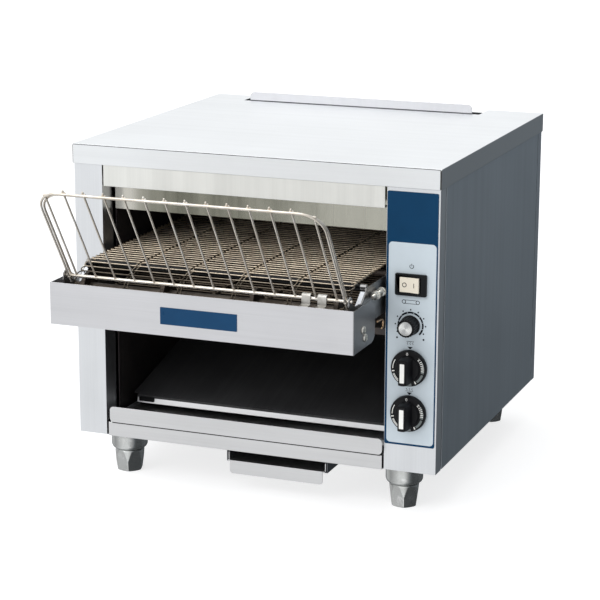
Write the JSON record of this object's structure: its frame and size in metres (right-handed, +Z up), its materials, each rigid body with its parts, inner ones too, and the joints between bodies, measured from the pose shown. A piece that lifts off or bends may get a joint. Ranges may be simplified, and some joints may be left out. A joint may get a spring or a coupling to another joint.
{
  "type": "conveyor pizza oven",
  "caption": "Counter-top conveyor oven with a wire belt through a heated chamber, a folding feed rack, a return chute and trays beneath, a side control column and levelling feet.",
  "frame": {"origin": "bottom centre of the overall box, on the plane of the floor under the four feet", "axes": "+Z up; +Y from the feed end to the back of the oven, so the operator stands on the -Y side; +X to the operator's right, where the controls are"},
  "size_m": [0.503, 0.6994, 0.4627],
  "materials": {
    "stainless": "brushed, fine horizontal grain",
    "cover_steel": "satin",
    "chamber_steel": "heat-stained, dull",
    "chute_steel": "black non-stick coating",
    "belt_wire": "heat-tinted wire",
    "frame_steel": "plain",
    "shaft_steel": "turned",
    "heater_sheath": "oxidised sheath",
    "rack_rod": "polished stainless rod",
    "clip_steel": "matt",
    "foot_steel": "satin turned",
    "overlay_film": "printed film",
    "knob_black": "satin black",
    "knob_cap": "turned",
    "switch_black": "gloss",
    "switch_ivory": "gloss",
    "bakelite": "matt",
    "terminal_cream": "matt",
    "motor_grey": "satin",
    "chain_steel": "oiled",
    "gland_black": "matt"
  },
  "bodies": {
    "cabinet": {"base_pan": "stainless", "front_column_left": "stainless", "front_column_right": "stainless", "control_overlay": "overlay_film", "side_panel_left": "stainless", "side_panel_right": "stainless", "rear_panel": "stainless", "top_cover": "cover_steel", "vent_deflector": "stainless", "upper_front_panel": "stainless", "heat_baffle": "stainless", "bottom_front_rail": "stainless", "chamber_wall_left": "chamber_steel", "chamber_wall_right": "chamber_steel", "chamber_ceiling": "chamber_steel", "chamber_rear_wall": "chamber_steel", "lower_heat_shield": "chamber_steel", "discharge_chute": "chute_steel", "upper_heater_front": "heater_sheath", "upper_heater_rear": "heater_sheath", "lower_heater_front": "heater_sheath", "lower_heater_rear": "heater_sheath", "conveyor_frame": "frame_steel", "front_cover": "stainless", "conveyor_belt": "belt_wire", "belt_tensioner_left": "shaft_steel", "belt_tensioner_right": "shaft_steel", "drive_chain": "chain_steel", "drive_motor": "motor_grey", "power_switch_bezel": "switch_black", "top_heat_regulator": "bakelite", "bottom_heat_regulator": "bakelite", "speed_potentiometer": "frame_steel", "terminal_block": "terminal_cream", "cord_gland": "gland_black", "rack_clip_inner": "clip_steel", "rack_clip_outer": "clip_steel", "drip_tray_guide": "stainless", "foot_socket_front_left": "foot_steel", "foot_socket_front_right": "foot_steel", "foot_socket_rear_left": "foot_steel", "foot_socket_rear_right": "foot_steel"},
    "feed_rack_body": {"feed_rack": "rack_rod"},
    "rear_shaft_body": {"rear_shaft": "shaft_steel", "drive_sprocket": "chain_steel"},
    "front_shaft_body": {"front_shaft": "shaft_steel"},
    "motor_sprocket_body": {"motor_sprocket": "chain_steel"},
    "power_rocker_body": {"power_switch_rocker": "switch_ivory"},
    "speed_knob_body": {"speed_knob": "knob_black", "speed_knob_cap": "knob_cap"},
    "top_heat_knob_body": {"top_heat_knob": "knob_black"},
    "bottom_heat_knob_body": {"bottom_heat_knob": "knob_black"},
    "collection_tray_body": {"collection_tray": "stainless"},
    "drip_tray_body": {"drip_tray": "stainless"},
    "foot_front_left_body": {"foot_adjuster_front_left": "foot_steel"},
    "foot_front_right_body": {"foot_adjuster_front_right": "foot_steel"},
    "foot_rear_left_body": {"foot_adjuster_rear_left": "foot_steel"},
    "foot_rear_right_body": {"foot_adjuster_rear_right": "foot_steel"}
  },
  "joints": [
    {"name": "feed_rack_fold", "type": "hinge", "parent": "cabinet", "child": "feed_rack_body", "pos_m": [0, -0.26333, 0.304], "axis": [-1, 0, 0], "range_deg": [0, 75]},
    {"name": "rear_shaft_spin", "type": "hinge", "parent": "cabinet", "child": "rear_shaft_body", "pos_m": [0, 0.20467, 0.294], "axis": [-1, 0, 0], "continuous": true},
    {"name": "front_shaft_spin", "type": "hinge", "parent": "cabinet", "child": "front_shaft_body", "pos_m": [0, -0.23783, 0.2845], "axis": [-1, 0, 0], "continuous": true},
    {"name": "motor_sprocket_spin", "type": "hinge", "parent": "cabinet", "child": "motor_sprocket_body", "pos_m": [0.19, 0.20467, 0.17], "axis": [-1, 0, 0], "continuous": true},
    {"name": "power_switch_rock", "type": "hinge", "parent": "cabinet", "child": "power_rocker_body", "pos_m": [0.21295, -0.14633, 0.3025], "axis": [0, 0, 1], "range_deg": [0, 12]},
    {"name": "speed_knob_turn", "type": "hinge", "parent": "cabinet", "child": "speed_knob_body", "pos_m": [0.2141, -0.15533, 0.2507], "axis": [0, 1, 0], "range_deg": [0, 270]},
    {"name": "top_heat_knob_turn", "type": "hinge", "parent": "cabinet", "child": "top_heat_knob_body", "pos_m": [0.2141, -0.15533, 0.1958], "axis": [0, 1, 0], "range_deg": [0, 300]},
    {"name": "bottom_heat_knob_turn", "type": "hinge", "parent": "cabinet", "child": "bottom_heat_knob_body", "pos_m": [0.2141, -0.15533, 0.1366], "axis": [0, 1, 0], "range_deg": [0, 300]},
    {"name": "collection_tray_slide", "type": "slide", "parent": "cabinet", "child": "collection_tray_body", "axis": [0, -1, 0], "range_m": [0, 0.3]},
    {"name": "drip_tray_slide", "type": "slide", "parent": "cabinet", "child": "drip_tray_body", "axis": [0, -1, 0], "range_m": [0, 0.32]},
    {"name": "foot_front_left_adjust", "type": "slide", "parent": "cabinet", "child": "foot_front_left_body", "axis": [0, 0, -1], "range_m": [0, 0.015]},
    {"name": "foot_front_right_adjust", "type": "slide", "parent": "cabinet", "child": "foot_front_right_body", "axis": [0, 0, -1], "range_m": [0, 0.015]},
    {"name": "foot_rear_left_adjust", "type": "slide", "parent": "cabinet", "child": "foot_rear_left_body", "axis": [0, 0, -1], "range_m": [0, 0.015]},
    {"name": "foot_rear_right_adjust", "type": "slide", "parent": "cabinet", "child": "foot_rear_right_body", "axis": [0, 0, -1], "range_m": [0, 0.015]}
  ],
  "couplings": [
    {"joint": "front_shaft_spin", "follows": "rear_shaft_spin", "ratio": 1},
    {"joint": "motor_sprocket_spin", "follows": "rear_shaft_spin", "ratio": 2}
  ]
}
